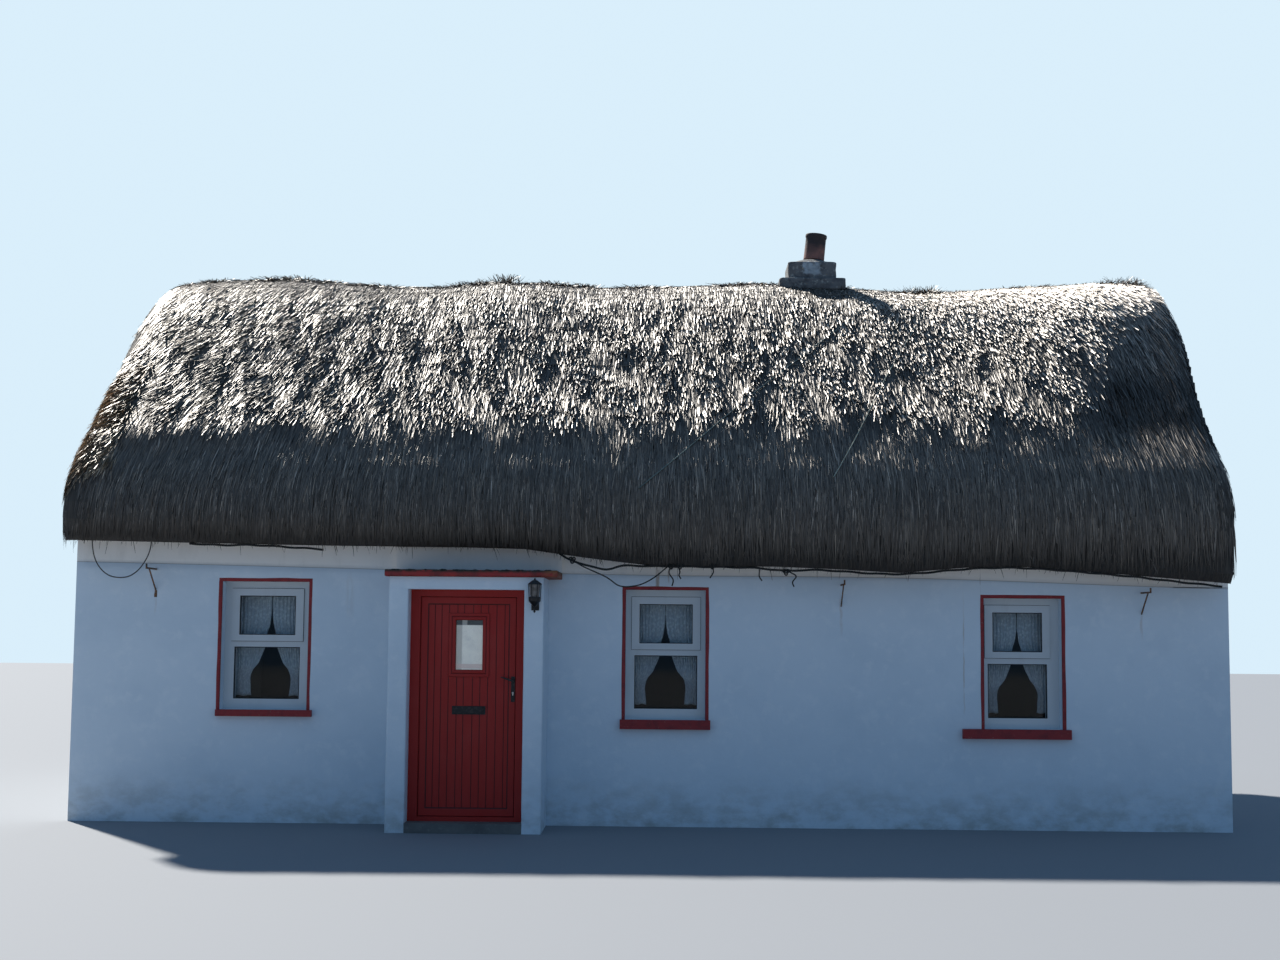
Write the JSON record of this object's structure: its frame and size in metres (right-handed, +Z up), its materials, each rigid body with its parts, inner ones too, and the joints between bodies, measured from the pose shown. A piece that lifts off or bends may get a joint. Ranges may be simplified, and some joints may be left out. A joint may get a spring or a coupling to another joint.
{
  "type": "thatched cottage",
  "caption": "Single-storey whitewashed stone cottage with a thick thatched roof, a shallow porch with a hinged front door, small windows and a chimney on the ridge.",
  "frame": {"origin": "middle of the plan of the four walls, on the floor slab's underside at ground level", "axes": "+X along the house to the right as seen from the front, +Y from the front door to the back wall, +Z up"},
  "size_m": [10.165, 6.536, 5.8058],
  "materials": {
    "limewashed_stone": "limewash on rough lime render",
    "floor_concrete": "worn floated concrete",
    "grey_concrete": "weathered, lichened",
    "red_painted_concrete": "brushed masonry paint, worn edges",
    "thatch": "weathered grey straw",
    "clay": "unglazed, sooted at the top",
    "red_door": "satin dark red",
    "white_plastic": "satin white",
    "glass": "clear",
    "net": "white net",
    "black_iron": "satin black paint",
    "rusty_iron": "flaking white paint over rust",
    "dark_rope": "tarred rope",
    "pale_rope": "faded twine",
    "brown_rope": "brown twine",
    "black_cable": "black cable sheath"
  },
  "bodies": {
    "house": {"front_wall_left": "limewashed_stone", "front_wall_right": "limewashed_stone", "front_wall_over_door": "limewashed_stone", "back_wall": "limewashed_stone", "left_gable_wall": "limewashed_stone", "right_gable_wall": "limewashed_stone", "chimney_stack": "limewashed_stone", "porch_jamb_left": "limewashed_stone", "porch_jamb_right": "limewashed_stone", "porch_head": "limewashed_stone", "panel_over_porch": "limewashed_stone", "floor_slab": "floor_concrete", "chimney_cap": "grey_concrete", "canopy_slab": "red_painted_concrete", "left_window_sill": "red_painted_concrete", "middle_window_sill": "red_painted_concrete", "right_window_sill": "red_painted_concrete", "back_left_window_sill": "red_painted_concrete", "back_right_window_sill": "red_painted_concrete", "thatch_roof": "thatch", "chimney_pot": "clay", "door_frame": "red_door", "left_window_frame": "white_plastic", "left_window_sash": "white_plastic", "middle_window_frame": "white_plastic", "middle_window_sash": "white_plastic", "right_window_frame": "white_plastic", "right_window_sash": "white_plastic", "back_left_window_frame": "white_plastic", "back_left_window_sash": "white_plastic", "back_right_window_frame": "white_plastic", "back_right_window_sash": "white_plastic", "lantern_glass": "glass", "left_window_glass": "glass", "middle_window_glass": "glass", "right_window_glass": "glass", "back_left_window_glass": "glass", "back_right_window_glass": "glass", "left_net_curtains": "net", "middle_net_curtains": "net", "right_net_curtains": "net", "wall_lantern": "black_iron", "basket_bracket_left": "rusty_iron", "basket_bracket_middle": "rusty_iron", "basket_bracket_right": "rusty_iron", "eave_rope_right": "dark_rope", "eave_rope_left": "dark_rope", "roof_rope_right": "pale_rope", "roof_rope_middle": "pale_rope", "roof_rope_left": "brown_rope", "eave_cable_loop": "black_cable"},
    "door": {"door_leaf": "red_door", "door_glass": "glass", "letter_plate": "black_iron", "handle_plate": "black_iron"},
    "lever": {"lever_handle": "black_iron"},
    "flap": {"letter_flap": "black_iron"}
  },
  "joints": [
    {"name": "front_door_hinge", "type": "hinge", "parent": "house", "child": "door", "pos_m": [-1.937, -3.09, 0], "axis": [0, 0, 1], "range_deg": [0, 90]},
    {"name": "lever_handle_turn", "type": "hinge", "parent": "door", "child": "lever", "pos_m": [-1.133, -3.1, 1.246], "axis": [0, -1, 0], "range_deg": [0, 40], "stiffness_Nm_per_rad": 1.2, "springref_deg": -34.38},
    {"name": "letter_flap_hinge", "type": "hinge", "parent": "door", "child": "flap", "pos_m": [-1.5015, -3.1585, 1.025], "axis": [-1, 0, 0], "range_deg": [0, 75], "stiffness_Nm_per_rad": 0.3, "springref_deg": -22.92}
  ]
}
